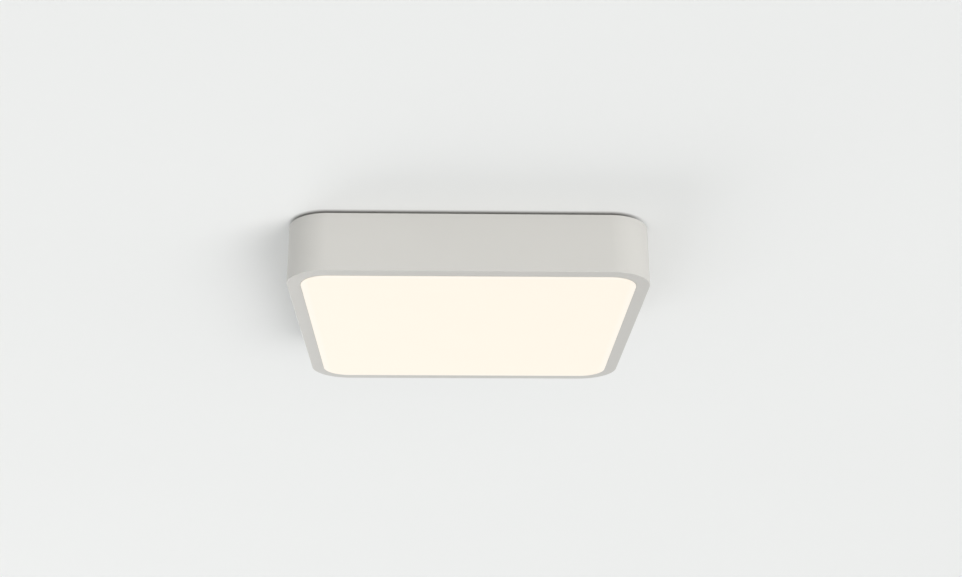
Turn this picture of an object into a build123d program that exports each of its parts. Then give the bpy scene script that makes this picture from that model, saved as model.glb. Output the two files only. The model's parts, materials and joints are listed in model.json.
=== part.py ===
from build123d import *
from math import sqrt
import os

# Square LED ceiling light, in millimetres. The ceiling is the plane z = 0, the origin is the middle of the
# light on the ceiling, and the light hangs below. An inset is measured inwards from the frame's outer face.

# Frame
side = 300.0  # width and depth over the frame
wall_height = 50.0  # frame wall, from its top edge to the rim
shadow_gap = 2.0  # between the ceiling and the frame's top edge
corner_radius = 35.0  # outer corner in plan
frame_wall = 1.6
rim_width = 11.4  # flat rim round the diffuser
rim_thickness = 1.8
rim_round = 0.6  # outer lower edge
edge_round = 0.4  # the frame's other edges
catch_reach = 2.0  # rib that the spring clips hold
catch_height = 1.5
clip_rib_reach = 2.6  # rib that the diffuser clips push against
clip_rib_height = 1.3
clip_room = 4.3  # height of a diffuser clip, from the flange to its rib

# Fits
running_gap = 0.3  # between pieces that move or push together
pin_gap = 0.1  # round a shank in its hole
plug_gap = 0.25  # round the diffuser in the rim's opening
brim_gap = 0.6  # round the base plate and the diffuser's flange inside the frame wall

# Diffuser
diffuser_wall = 2.0
diffuser_proud = 0.6  # how far it stands below the rim
diffuser_round = 0.5
gasket_thickness = 0.4
gasket_margin = 1.0  # from the flange's edge to the gasket
leaf = 0.5  # sheet of the diffuser clips
clip_width = 12.0
clip_foot = 2.4
clip_slope = 2.2
clip_bend = 0.8
clip_spacing = 120.0  # between the two diffuser clips of a side

# Base plate
base_sheet = 1.0
fixing_pitch = 160.0  # square of four ceiling screw slots
slot_length = 12.0
slot_width = 5.0
pad_radius = 16.0
bead_length = 150.0
bead_width = 8.0
bead_rise = 0.8
seal_inset = 21.0  # foam ring on top of the plate
seal_width = 8.0
cable_x = -28.0  # supply cable inlet
cable_hole = 8.0
cable_bore = 4.5
grommet_lip = 3.0  # how far its flanges reach past the hole
grommet_top = 1.4
grommet_bottom = 3.0

# Spring clips
spring_sheet = 0.6
spring_width = 16.0
spring_foot_inset = 17.0  # inner end of the foot
spring_leg_inset = 9.2
spring_drop = 10.7  # from the foot to the turn
spring_lean = 1.6
spring_turn = 2.0
nose_hold = 0.8  # how far the nose reaches under the catch rib
nose_drop = 2.4
nose_tail = 1.4
nose_rise = 0.6
spring_bend = 0.9
rivet_inset = 13.5
rivet_radius = 1.5
rivet_spacing = 9.0
rivet_head_radius = 2.6
rivet_head_height = 0.8

# LED tray
tray_inset = 18.0
tray_corner = 20.0
tray_sheet = 1.0
gear_room = 23.0  # height between the base plate and the tray's floor
post_inset = 11.0  # from the tray's side
post_radius = 4.0
post_spigot = 1.9
screw_radius = 1.5
screw_bite = 8.0
head_spread = 2.0  # screw head radius over shank radius
head_rise = 1.3  # screw head height over shank radius
recess_share = 0.5  # depth of the driver recess over shank radius
access_radius = 8.0  # screwdriver holes under the ceiling screws
window_margin = 3.0
window_corner = 3.0
row_room = 16.0  # from the outer row to the tray's side, at least

# LED strips
strip_width = 12.0
strip_thickness = 1.2
strip_margin = 14.0  # from the strip's end to the tray's side
strip_end = 18.0  # from the last LED to the strip's end, at least
strip_corner = 1.0
strip_screw = 1.2
led_pitch = 40.0
led_size = 3.0
led_height = 0.8
lens_air = 0.5  # between an LED's corner and its lens
lens_radius = 7.5
lens_height = 5.6
lens_shoulder = 3.0
lens_dip = 0.8
connector_length = 6.0
connector_width = 7.0
connector_height = 3.5
connector_edge = 2.0  # from the strip's end
jumper_radius = 0.8  # wires of the LED circuit
jumper_spacing = 3.0
jumper_reach = 7.0
jumper_end = 1.0  # straight end of a jumper at its connector
jumper_drop = 1.8  # from the strip to the wires

# Terminal block
terminal_x = 6.0
terminal_length = 28.0
terminal_height = 17.0
pole_pitch = 7.0
terminal_side = 4.0  # from the outer pole to the block's side
terminal_ear = 7.0
terminal_ear_height = 3.0
terminal_round = 0.6
lead_drop = 10.0  # from the base plate to the leads
funnel_size = 3.6
funnel_depth = 9.0
lead_depth = 8.0
contact_width = 2.6
contact_sheet = 1.0
button_size = 4.4
button_collar = 0.5
button_collar_height = 1.2
button_lip = 1.0
button_travel = 1.5
button_proud = 2.0
button_groove = 0.8

# Earth connection
tab_x = 46.0
tab_width = 6.3
tab_sheet = 0.8
tab_blade = 9.0
tab_foot = 12.0
tab_bend = 1.2
earth_screw_radius = 2.0
lug_length = 8.0
lug_wall = 0.6
lug_barrel = 5.0

# Driver
driver_y = 46.0
driver_length = 120.0
driver_width = 42.0
driver_height = 19.0
driver_skin = 1.6
driver_corner = 3.0
driver_ear = 11.0
driver_ear_width = 14.0
driver_ear_height = 2.0
board_sheet = 1.6
board_gap = 0.5
board_boss = 3.0
boss_radius = 2.5
boss_inset = 5.0
lid_gap = 0.15
driver_terminal_length = 9.0
driver_terminal_width = 12.0
driver_terminal_height = 7.5
driver_terminal_edge = 2.0
part_gap = 0.5  # between the tallest components and the lid
transformer_x = 6.0
transformer_length = 24.0
transformer_width = 20.0
transformer_coil = 3.0  # how far the winding stands out of the core
capacitor_x = -22.0
capacitor_radius = 4.5
capacitor_pitch = 11.0
chip_x = 32.0
chip_length = 6.0
chip_width = 5.0
chip_height = 1.6
chip_pitch = 12.0

# Leads
mains_radius = 1.2
lead_gap = 0.3  # round a lead where it passes a wall
mains_spacing = 4.0
lead_turn = 12.0  # from the driver's end to the live lead
lead_lane = 6.0  # between the live and neutral leads beside the driver
near_bend = 14.0
far_bend = 7.0
feed_inset = 8.0  # from the tray's side to where the LED leads pass its floor
feed_step = 16.0  # from the first row to the same place
feed_bore = 3.4
feed_hole = 4.5
feed_lip = 1.6
feed_flange = 1.2
feed_bends = (14.0, 5.0, 4.0, 4.0)
lead_clip_x = -92.0
lead_clip_length = 6.0
lead_clip_side = 2.5
lead_clip_peg = 1.9

# Levels
frame_top = -shadow_gap
frame_bottom = frame_top - wall_height
rim_top = frame_bottom + rim_thickness
gasket_top = rim_top + gasket_thickness
flange_top = gasket_top + diffuser_wall
clip_rib_bottom = flange_top + clip_room
base_top = -shadow_gap
base_bottom = base_top - base_sheet
catch_top = base_bottom - running_gap
catch_bottom = catch_top - catch_height
tray_top = base_bottom - gear_room
tray_bottom = tray_top - tray_sheet
strip_bottom = tray_bottom - strip_thickness
jumper_level = strip_bottom - jumper_drop
lead_level = base_bottom - lead_drop
terminal_bottom = base_bottom - terminal_height
driver_bottom = base_bottom - driver_height
board_top = base_bottom - driver_skin - board_boss
board_bottom = board_top - board_sheet
lid_top = driver_bottom + driver_skin

# Sizes that follow from those above
flange_inset = frame_wall + brim_gap
plug_inset = rim_width + plug_gap
tray_side = side - 2 * tray_inset
post_pitch = tray_side - 2 * post_inset
row_pitch = fixing_pitch / 4  # so that the screwdriver holes fall between two rows
row_count = 2 * int((tray_side / 2 - row_room) / row_pitch + 0.5)
row_places = [(row_count - 1) / 2 * row_pitch - row * row_pitch for row in range(row_count)]
first_row = row_places[0]
strip_length = tray_side - 2 * strip_margin
led_count = int((strip_length - 2 * strip_end) / led_pitch) + 1
connector_face = strip_length / 2 - connector_edge
terminal_right = terminal_x + terminal_length / 2
terminal_left = terminal_x - terminal_length / 2
terminal_width = 2 * (pole_pitch + terminal_side)
poles = {"live": pole_pitch, "neutral": 0.0, "earth": -pole_pitch}
lead_seat = terminal_right - lead_depth
earth_y = poles["earth"]
ear_reach = terminal_width / 2 + terminal_ear
driver_face = driver_length / 2 - driver_skin - board_gap - driver_terminal_edge
driver_screw_pitch = driver_length + driver_ear
live_reach = driver_length / 2 + lead_turn
neutral_reach = live_reach + lead_lane
feed_x = feed_inset - tray_side / 2
feed_y = first_row - feed_step
sides = {"front": -90, "right": 0, "back": 90, "left": 180}

# How a solid stands on its place
rising = (Align.CENTER, Align.CENTER, Align.MIN)
hanging = (Align.CENTER, Align.CENTER, Align.MAX)

os.makedirs("parts", exist_ok=True)


def finish(builder, name):
    builder.part.label = name
    export_step(builder.part, f"parts/{name}.step")


# The frame's plan at an inset
def rounded_square(inset, mode=Mode.ADD):
    width = side - 2 * inset
    RectangleRounded(width, width, corner_radius - inset, mode=mode)


# A square ring between two insets, standing on a level
def ring(outer_inset, inner_inset, bottom, height):
    with BuildSketch(Plane.XY.offset(bottom)) as plan:
        rounded_square(outer_inset)
        rounded_square(inner_inset, Mode.SUBTRACT)
    extrude(plan.sketch, amount=height)


# Upright plane across one side: x runs inwards from the outer face, y upwards
def side_plane(angle, along):
    inwards = Vector(-1, 0, 0).rotate(Axis.Z, angle)
    tangent = Vector(0, 1, 0).rotate(Axis.Z, angle)
    return Plane(origin=inwards * (-side / 2) + tangent * along, x_dir=inwards, z_dir=tangent)


# Bent strip of sheet metal, with its under face along the given line
def bent_leaf(plane, line, sheet, bend, width):
    with BuildSketch(plane.offset(-width / 2)) as profile:
        with BuildLine():
            FilletPolyline(*line, radius=bend)
            offset(amount=sheet, side=Side.LEFT, closed=True)
        make_face()
    extrude(profile.sketch, amount=width)


# Pan head screw at the current place, with its shank pointing up
def pan_screw(radius, grip):
    Cylinder(radius * head_spread, radius * head_rise, align=hanging)
    Cylinder(radius, grip, align=rising)
    with Locations((0, 0, -radius * head_rise)):
        with PolarLocations(0, 2, angular_range=180):
            Box(2 * radius, radius * recess_share, radius * recess_share, align=rising, mode=Mode.SUBTRACT)


def round_heads(builder, amount):
    lowest = builder.edges().group_by(Axis.Z)[0]
    fillet(lowest.filter_by(GeomType.CIRCLE), amount)


# Round wire along straight runs joined by arcs
def wire(points, bends, radius):
    with BuildLine() as route:
        if bends:
            FilletPolyline(*points, radius=bends)
        else:
            Line(*points)
    with BuildSketch(Plane(origin=route.line @ 0, z_dir=route.line % 0)) as section:
        Circle(radius)
    sweep(section.sketch, path=route.line)


# Rubber ring in a sheet's hole: a neck, a flange on each face and a bore
def flanged_ring(place, sheet_bottom, sheet, hole, bore, lip, below, above):
    neck = hole - pin_gap
    with Locations((*place, sheet_bottom)):
        Cylinder(neck, sheet, align=rising)
        Cylinder(neck + lip, below, align=hanging)
    with Locations((*place, sheet_bottom + sheet)):
        Cylinder(neck + lip, above, align=rising)
    with Locations((*place, sheet_bottom - below)):
        Cylinder(bore, below + sheet + above, align=rising, mode=Mode.SUBTRACT)


# Cover: frame, diffuser and what holds the diffuser

with BuildPart() as frame:
    ring(0, frame_wall, frame_bottom, wall_height)
    ring(frame_wall / 2, rim_width, frame_bottom, rim_thickness)
    ring(frame_wall / 2, frame_wall + clip_rib_reach, clip_rib_bottom, clip_rib_height)
    ring(frame_wall / 2, frame_wall + catch_reach, catch_bottom, catch_height)
    fillet(frame.faces().sort_by(Axis.Z)[0].inner_wires()[0].edges(), edge_round)
    fillet(frame.faces().sort_by(Axis.Z)[0].outer_wire().edges(), rim_round)
    fillet(frame.faces().sort_by(Axis.Z)[-1].edges(), edge_round)
finish(frame, "frame")

with BuildPart() as diffuser:
    with BuildSketch(Plane.XY.offset(frame_bottom - diffuser_proud)):
        rounded_square(plug_inset)
    extrude(amount=flange_top - frame_bottom + diffuser_proud)
    with BuildSketch(Plane.XY.offset(gasket_top)):
        rounded_square(flange_inset)
    extrude(amount=diffuser_wall)
    with BuildSketch(Plane.XY.offset(frame_bottom - diffuser_proud + diffuser_wall)):
        rounded_square(plug_inset + diffuser_wall)
    extrude(until=Until.LAST, mode=Mode.SUBTRACT)
    fillet(diffuser.faces().sort_by(Axis.Z)[0].edges(), diffuser_round)
finish(diffuser, "diffuser")

with BuildPart() as diffuser_gasket:
    ring(flange_inset + gasket_margin, rim_width - running_gap, rim_top, gasket_thickness)
finish(diffuser_gasket, "diffuser_gasket")

with BuildPart() as diffuser_clips:
    clip_start = frame_wall + running_gap
    clip_knee = frame_wall + clip_rib_reach
    clip_line = [
        (clip_start, clip_rib_bottom - leaf),
        (clip_knee, clip_rib_bottom - leaf),
        (clip_knee + clip_slope, flange_top),
        (clip_knee + clip_slope + clip_foot, flange_top),
    ]
    for angle in sides.values():
        for along in (-clip_spacing / 2, clip_spacing / 2):
            bent_leaf(side_plane(angle, along), clip_line, leaf, clip_bend, clip_width)
finish(diffuser_clips, "diffuser_clips")

# Base plate and what holds the cover to it

pad_recess = pad_radius + base_sheet - base_sheet * sqrt(2)
seal_inner = side / 2 - seal_inset - seal_width
bead_line = (fixing_pitch / 2 + pad_radius + seal_inner) / 2

with BuildPart() as base_plate:
    with BuildSketch(Plane.XY.offset(base_bottom)):
        rounded_square(frame_wall + brim_gap)
    extrude(amount=base_sheet)
    with BuildSketch(Plane.XY.offset(base_top)):
        with PolarLocations(bead_line, len(sides)):
            SlotOverall(bead_length, bead_width, rotation=90)
    extrude(amount=bead_rise)
    with BuildSketch(Plane.XY.offset(base_bottom)):
        with PolarLocations(bead_line, len(sides)):
            SlotOverall(bead_length - 2 * base_sheet, bead_width - 2 * base_sheet, rotation=90)
    extrude(amount=bead_rise, mode=Mode.SUBTRACT)
    with Locations((0, 0, base_top)):
        with GridLocations(fixing_pitch, fixing_pitch, 2, 2):
            Cone(pad_radius, pad_radius - shadow_gap, shadow_gap, align=rising)
    with Locations((0, 0, base_bottom)):
        with GridLocations(fixing_pitch, fixing_pitch, 2, 2):
            Cone(pad_recess, pad_recess - shadow_gap, shadow_gap, align=rising, mode=Mode.SUBTRACT)
    with BuildSketch():
        with GridLocations(fixing_pitch, fixing_pitch, 2, 2):
            SlotOverall(slot_length, slot_width)
        with Locations((cable_x, 0)):
            Circle(cable_hole)
        with GridLocations(post_pitch, post_pitch, 2, 2):
            Circle(post_spigot + pin_gap)
        with PolarLocations(side / 2 - rivet_inset, len(sides)):
            with GridLocations(0, rivet_spacing, 1, 2):
                Circle(rivet_radius + pin_gap)
        with Locations((0, driver_y)):
            with GridLocations(driver_screw_pitch, 0, 2, 1):
                Circle(screw_radius + pin_gap)
        with Locations((terminal_x, -ear_reach + terminal_ear / 2)):
            Circle(screw_radius + pin_gap)
        with Locations((tab_x + tab_foot / 2, earth_y)):
            Circle(earth_screw_radius + pin_gap)
        with Locations((lead_clip_x, driver_y)):
            Circle(lead_clip_peg + pin_gap)
    extrude(amount=base_bottom, mode=Mode.SUBTRACT)
finish(base_plate, "base_plate")

with BuildPart() as ceiling_seal:
    ring(seal_inset, seal_inset + seal_width, base_top, shadow_gap)
finish(ceiling_seal, "ceiling_seal")

with BuildPart() as cable_grommet:
    inlet_sizes = (cable_hole, cable_bore, grommet_lip, grommet_bottom, grommet_top)
    flanged_ring((cable_x, 0), base_bottom, base_sheet, *inlet_sizes)
finish(cable_grommet, "cable_grommet")

catch_tip = frame_wall + catch_reach
spring_turn_level = base_bottom - spring_sheet - spring_drop
spring_line = [
    (spring_foot_inset, base_bottom),
    (spring_leg_inset, base_bottom),
    (spring_leg_inset - spring_lean, spring_turn_level),
    (spring_leg_inset - spring_lean - spring_turn, spring_turn_level),
    (catch_tip - nose_hold, catch_bottom - nose_drop),
    (catch_tip + nose_tail, catch_bottom + nose_rise),
]

for name, angle in sides.items():
    with BuildPart() as spring_clip:
        bent_leaf(side_plane(angle, 0), spring_line, spring_sheet, spring_bend, spring_width)
        with PolarLocations(side / 2 - rivet_inset, 1, start_angle=angle):
            with GridLocations(0, rivet_spacing, 1, 2):
                hole_depth = spring_sheet - base_bottom
                Cylinder(rivet_radius + pin_gap, hole_depth, align=hanging, mode=Mode.SUBTRACT)
    finish(spring_clip, f"spring_clip_{name}")

with BuildPart() as clip_rivets:
    with PolarLocations(side / 2 - rivet_inset, len(sides)):
        with GridLocations(0, rivet_spacing, 1, 2):
            with Locations((0, 0, base_top)):
                Cylinder(rivet_head_radius, rivet_head_height, align=rising)
                Cylinder(rivet_radius, base_sheet + spring_sheet, align=hanging)
            with Locations((0, 0, base_bottom - spring_sheet)):
                Cylinder(rivet_head_radius, rivet_head_height, align=hanging)
finish(clip_rivets, "clip_rivets")

# LED tray and its fixings

window_left = cable_x - cable_hole - grommet_lip - window_margin
window_right = terminal_right + window_margin
window_width = row_pitch - strip_width - 2 * strip_corner
tray_wall_height = base_bottom - running_gap - tray_bottom

with BuildPart() as led_tray:
    with BuildSketch(Plane.XY.offset(tray_bottom)):
        RectangleRounded(tray_side, tray_side, tray_corner)
    extrude(amount=tray_wall_height)
    with BuildSketch(Plane.XY.offset(tray_top)):
        RectangleRounded(tray_side - 2 * tray_sheet, tray_side - 2 * tray_sheet, tray_corner - tray_sheet)
    extrude(amount=tray_wall_height - tray_sheet, mode=Mode.SUBTRACT)
    with BuildSketch(Plane.XY.offset(tray_bottom)):
        with Locations(((window_left + window_right) / 2, 0)):
            RectangleRounded(window_right - window_left, window_width, window_corner)
        with GridLocations(fixing_pitch, fixing_pitch, 2, 2):
            Circle(access_radius)
        with GridLocations(post_pitch, post_pitch, 2, 2):
            Circle(screw_radius + pin_gap)
        with GridLocations((led_count - 2) * led_pitch, row_pitch, 2, row_count):
            Circle(strip_screw + pin_gap)
        with Locations((feed_x, feed_y)):
            Circle(feed_hole)
    extrude(amount=tray_sheet, mode=Mode.SUBTRACT)
finish(led_tray, "led_tray")

with BuildPart() as tray_posts:
    with BuildSketch(Plane.XY.offset(tray_top)):
        with GridLocations(post_pitch, post_pitch, 2, 2):
            RegularPolygon(post_radius, 6)
            Circle(screw_radius + pin_gap, mode=Mode.SUBTRACT)
    extrude(amount=gear_room)
    with Locations((0, 0, tray_top + screw_bite + pin_gap)):
        with GridLocations(post_pitch, post_pitch, 2, 2):
            Cylinder(post_spigot, gear_room + base_sheet - screw_bite - pin_gap, align=rising)
finish(tray_posts, "tray_posts")

with BuildPart() as tray_screws:
    with Locations((0, 0, tray_bottom)):
        with GridLocations(post_pitch, post_pitch, 2, 2):
            pan_screw(screw_radius, tray_sheet + screw_bite)
    round_heads(tray_screws, screw_radius * recess_share)
finish(tray_screws, "tray_screws")

with BuildPart() as feed_bush:
    bush_sizes = (feed_hole, feed_bore, feed_lip, feed_flange, feed_flange)
    flanged_ring((feed_x, feed_y), tray_bottom, tray_sheet, *bush_sizes)
finish(feed_bush, "feed_bush")

# LED strips, their LEDs, lenses and wiring

for number, row in enumerate(row_places, 1):
    with BuildPart() as led_strip:
        with BuildSketch(Plane.XY.offset(tray_bottom)):
            with Locations((0, row)):
                RectangleRounded(strip_length, strip_width, strip_corner)
                with GridLocations((led_count - 2) * led_pitch, 0, 2, 1):
                    Circle(strip_screw + pin_gap, mode=Mode.SUBTRACT)
        extrude(amount=-strip_thickness)
    finish(led_strip, f"led_strip_{number}")

with BuildPart() as strip_screws:
    with Locations((0, 0, strip_bottom)):
        with GridLocations((led_count - 2) * led_pitch, row_pitch, 2, row_count):
            pan_screw(strip_screw, strip_thickness + 2 * tray_sheet)
    round_heads(strip_screws, strip_screw * recess_share)
finish(strip_screws, "strip_screws")

with BuildPart() as leds:
    with Locations((0, 0, strip_bottom)):
        with GridLocations(led_pitch, row_pitch, led_count, row_count):
            Box(led_size, led_size, led_height, align=hanging)
finish(leds, "leds")

lens_pocket = led_size * sqrt(0.5) + lens_air
lens_foot = lens_height - lens_shoulder

with BuildPart() as lens:
    with BuildSketch(Plane.XZ):
        with BuildLine():
            Line((lens_pocket, 0), (lens_radius, 0))
            Line((lens_radius, 0), (lens_radius, -lens_foot))
            crest = CenterArc((lens_radius - lens_shoulder, -lens_foot), lens_shoulder, 0, -90)
            TangentArc((0, lens_dip - lens_height), crest @ 1, tangent=(1, 0))
            Line((0, lens_dip - lens_height), (0, -lens_pocket))
            CenterArc((0, 0), lens_pocket, -90, 90)
        make_face()
    revolve(axis=Axis.Z)

with BuildPart() as led_lenses:
    with Locations((0, 0, strip_bottom)):
        with GridLocations(led_pitch, row_pitch, led_count, row_count):
            add(lens.part)
finish(led_lenses, "led_lenses")

with BuildPart() as strip_connectors:
    with Locations((0, 0, strip_bottom)):
        with GridLocations(2 * connector_face - connector_length, row_pitch, 2, row_count):
            Box(connector_length, connector_width, connector_height, align=hanging)
finish(strip_connectors, "strip_connectors")

with BuildPart() as strip_jumpers:
    for number, row in enumerate(row_places[:-1]):
        end = 1 if number % 2 == 0 else -1
        for inner in (True, False):
            shift = jumper_spacing / 2 if inner else -jumper_spacing / 2
            reach = jumper_reach if inner else jumper_reach + jumper_spacing
            start = end * connector_face
            turn = end * (connector_face + reach)
            jumper_line = [
                (start, row - shift, jumper_level),
                (turn, row - shift, jumper_level),
                (turn, row - row_pitch + shift, jumper_level),
                (start, row - row_pitch + shift, jumper_level),
            ]
            wire(jumper_line, (reach - jumper_end, reach - jumper_end), jumper_radius)
finish(strip_jumpers, "strip_jumpers")

# Terminal block: wire funnels on the left, leads on the right, release buttons below

pocket_size = button_size + 2 * button_collar + 2 * running_gap
pocket_bottom = terminal_bottom + button_lip
pocket_height = button_collar_height + button_travel + 2 * running_gap
contact_space = lead_seat - terminal_left - funnel_depth

with BuildPart() as terminal_block:
    with BuildSketch(Plane.XY.offset(base_bottom)):
        with Locations((terminal_x, 0)):
            Rectangle(terminal_length, terminal_width)
    extrude(amount=-terminal_height)
    fillet(terminal_block.edges().filter_by(Axis.Z), terminal_round)
    fillet(terminal_block.faces().sort_by(Axis.Z)[0].edges(), terminal_round)
    with BuildSketch(Plane.XY.offset(base_bottom)):
        with Locations((terminal_x, -ear_reach + terminal_ear)):
            Rectangle(2 * terminal_ear, 2 * terminal_ear)
        with Locations((terminal_x, -ear_reach + terminal_ear / 2)):
            Circle(screw_radius + pin_gap, mode=Mode.SUBTRACT)
    extrude(amount=-terminal_ear_height)
    for pole in poles.values():
        with Locations((terminal_left, pole, lead_level)):
            Box(2 * funnel_depth, funnel_size, funnel_size, mode=Mode.SUBTRACT)
        with Locations((terminal_right, pole, lead_level)):
            Cylinder(mains_radius + pin_gap, 2 * lead_depth, rotation=(0, 90, 0), mode=Mode.SUBTRACT)
        with Locations((lead_seat - contact_space / 2, pole, lead_level)):
            tunnel_width = contact_width + 2 * running_gap
            Box(contact_space, tunnel_width, contact_sheet + 2 * running_gap, mode=Mode.SUBTRACT)
        with Locations((terminal_x, pole, pocket_bottom)):
            Box(pocket_size, pocket_size, pocket_height, align=rising, mode=Mode.SUBTRACT)
            mouth = button_size + 2 * running_gap
            Box(mouth, mouth, 2 * button_lip, mode=Mode.SUBTRACT)
finish(terminal_block, "terminal_block")

with BuildPart() as terminal_contacts:
    for pole in poles.values():
        with Locations((lead_seat - contact_space / 2, pole, lead_level)):
            Box(contact_space - 2 * running_gap, contact_width, contact_sheet)
finish(terminal_contacts, "terminal_contacts")

for name, pole in poles.items():
    with BuildPart() as terminal_button:
        with Locations((terminal_x, pole, pocket_bottom + running_gap)):
            collar = button_size + 2 * button_collar
            Box(collar, collar, button_collar_height, align=rising)
            Box(button_size, button_size, button_proud + button_lip + running_gap, align=hanging)
        with Locations((terminal_x, pole, terminal_bottom - button_proud)):
            Box(button_groove, button_size, button_groove, align=rising, mode=Mode.SUBTRACT)
    finish(terminal_button, f"terminal_button_{name}")

with BuildPart() as terminal_screw:
    with Locations((terminal_x, -ear_reach + terminal_ear / 2, base_bottom - terminal_ear_height)):
        pan_screw(screw_radius, terminal_ear_height + 2 * base_sheet)
    round_heads(terminal_screw, screw_radius * recess_share)
finish(terminal_screw, "terminal_screw")

# Earth connection

with BuildPart() as earth_tab:
    tab_line = [
        (tab_x - tab_blade, lead_level - tab_sheet / 2),
        (tab_x, lead_level - tab_sheet / 2),
        (tab_x, base_bottom - tab_sheet),
        (tab_x + tab_foot, base_bottom - tab_sheet),
    ]
    tab_plane = Plane(origin=(0, earth_y, 0), x_dir=(1, 0, 0), z_dir=(0, -1, 0))
    bent_leaf(tab_plane, tab_line, tab_sheet, tab_bend, tab_width)
    with Locations((tab_x + tab_foot / 2, earth_y, base_bottom)):
        Cylinder(earth_screw_radius + pin_gap, tab_sheet, align=hanging, mode=Mode.SUBTRACT)
finish(earth_tab, "earth_tab")

with BuildPart() as earth_screw:
    with Locations((tab_x + tab_foot / 2, earth_y, base_bottom - tab_sheet)):
        pan_screw(earth_screw_radius, tab_sheet + 2 * base_sheet)
    round_heads(earth_screw, earth_screw_radius * recess_share)
finish(earth_screw, "earth_screw")

lug_left = tab_x - tab_blade - lug_wall - pin_gap
lug_inner_width = tab_width + 2 * pin_gap
lug_inner_height = tab_sheet + 2 * pin_gap

with BuildPart() as earth_lug:
    with Locations((lug_left + lug_length / 2, earth_y, lead_level)):
        Box(lug_length, lug_inner_width + 2 * lug_wall, lug_inner_height + 2 * lug_wall)
    with Locations((lug_left - lug_barrel / 2, earth_y, lead_level)):
        Cylinder(mains_radius + lug_wall, lug_barrel, rotation=(0, 90, 0))
    with Locations((lug_left + lug_wall + lug_length / 2, earth_y, lead_level)):
        Box(lug_length, lug_inner_width, lug_inner_height, mode=Mode.SUBTRACT)
finish(earth_lug, "earth_lug")

# Driver: a plastic box under the base plate, closed by a lid on the tray's side

board_length = driver_length - 2 * (driver_skin + board_gap)
board_width = driver_width - 2 * (driver_skin + board_gap)
live_entry = driver_y - mains_spacing / 2
neutral_entry = driver_y + mains_spacing / 2
plus_entry = driver_y + jumper_spacing / 2
minus_entry = driver_y - jumper_spacing / 2

with BuildPart() as driver_case:
    with BuildSketch(Plane.XY.offset(base_bottom)):
        with Locations((0, driver_y)):
            RectangleRounded(driver_length, driver_width, driver_corner)
    extrude(amount=-driver_height)
    with BuildSketch(Plane.XY.offset(base_bottom)):
        with Locations((0, driver_y)):
            RectangleRounded(driver_length + 2 * driver_ear, driver_ear_width, driver_corner)
            with GridLocations(driver_screw_pitch, 0, 2, 1):
                Circle(screw_radius + pin_gap, mode=Mode.SUBTRACT)
    extrude(amount=-driver_ear_height)
    with BuildSketch(Plane.XY.offset(base_bottom - driver_skin)):
        with Locations((0, driver_y)):
            Rectangle(driver_length - 2 * driver_skin, driver_width - 2 * driver_skin)
    extrude(amount=-driver_height, mode=Mode.SUBTRACT)
    with Locations((0, driver_y, base_bottom - driver_skin)):
        with GridLocations(board_length - 2 * boss_inset, board_width - 2 * boss_inset, 2, 2):
            Cylinder(boss_radius, board_boss, align=hanging)
    for entry in (live_entry, neutral_entry):
        with Locations((driver_length / 2, entry, lead_level)):
            Cylinder(mains_radius + lead_gap, 4 * driver_skin, rotation=(0, 90, 0), mode=Mode.SUBTRACT)
    for entry in (plus_entry, minus_entry):
        with Locations((-driver_length / 2, entry, lead_level)):
            Cylinder(jumper_radius + lead_gap, 4 * driver_skin, rotation=(0, 90, 0), mode=Mode.SUBTRACT)
finish(driver_case, "driver_case")

with BuildPart() as driver_lid:
    with BuildSketch(Plane.XY.offset(driver_bottom)):
        with Locations((0, driver_y)):
            lid_edge = driver_skin + lid_gap
            Rectangle(driver_length - 2 * lid_edge, driver_width - 2 * lid_edge)
    extrude(amount=driver_skin)
finish(driver_lid, "driver_lid")

with BuildPart() as driver_board:
    with BuildSketch(Plane.XY.offset(board_top)):
        with Locations((0, driver_y)):
            Rectangle(board_length, board_width)
    extrude(amount=-board_sheet)
finish(driver_board, "driver_board")

with BuildPart() as driver_terminals:
    with Locations((0, driver_y, board_bottom)):
        with GridLocations(2 * driver_face - driver_terminal_length, 0, 2, 1):
            Box(driver_terminal_length, driver_terminal_width, driver_terminal_height, align=hanging)
finish(driver_terminals, "driver_terminals")

component_height = board_bottom - lid_top - part_gap

with BuildPart() as driver_transformer:
    with Locations((transformer_x, driver_y, board_bottom)):
        core_length = transformer_length - 2 * transformer_coil
        Box(core_length, transformer_width, component_height, align=hanging)
        coil_width = transformer_width - 2 * transformer_coil
        Box(transformer_length, coil_width, component_height - transformer_coil, align=hanging)
finish(driver_transformer, "driver_transformer")

with BuildPart() as driver_capacitors:
    with Locations((capacitor_x, driver_y, board_bottom)):
        with GridLocations(capacitor_pitch, capacitor_pitch, 2, 2):
            Cylinder(capacitor_radius, component_height, align=hanging)
finish(driver_capacitors, "driver_capacitors")

with BuildPart() as driver_chips:
    with Locations((chip_x, driver_y, board_bottom)):
        with GridLocations(0, chip_pitch, 1, 2):
            Box(chip_length, chip_width, chip_height, align=hanging)
finish(driver_chips, "driver_chips")

with BuildPart() as driver_screws:
    with Locations((0, driver_y, base_bottom - driver_ear_height)):
        with GridLocations(driver_screw_pitch, 0, 2, 1):
            pan_screw(screw_radius, driver_ear_height + 2 * base_sheet)
    round_heads(driver_screws, screw_radius * recess_share)
finish(driver_screws, "driver_screws")

# Leads, each whole between the pieces that hold it

with BuildPart() as live_lead:
    live_line = [
        (lead_seat, poles["live"], lead_level),
        (live_reach, poles["live"], lead_level),
        (live_reach, live_entry, lead_level),
        (driver_face, live_entry, lead_level),
    ]
    wire(live_line, (near_bend, far_bend), mains_radius)
finish(live_lead, "live_lead")

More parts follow.
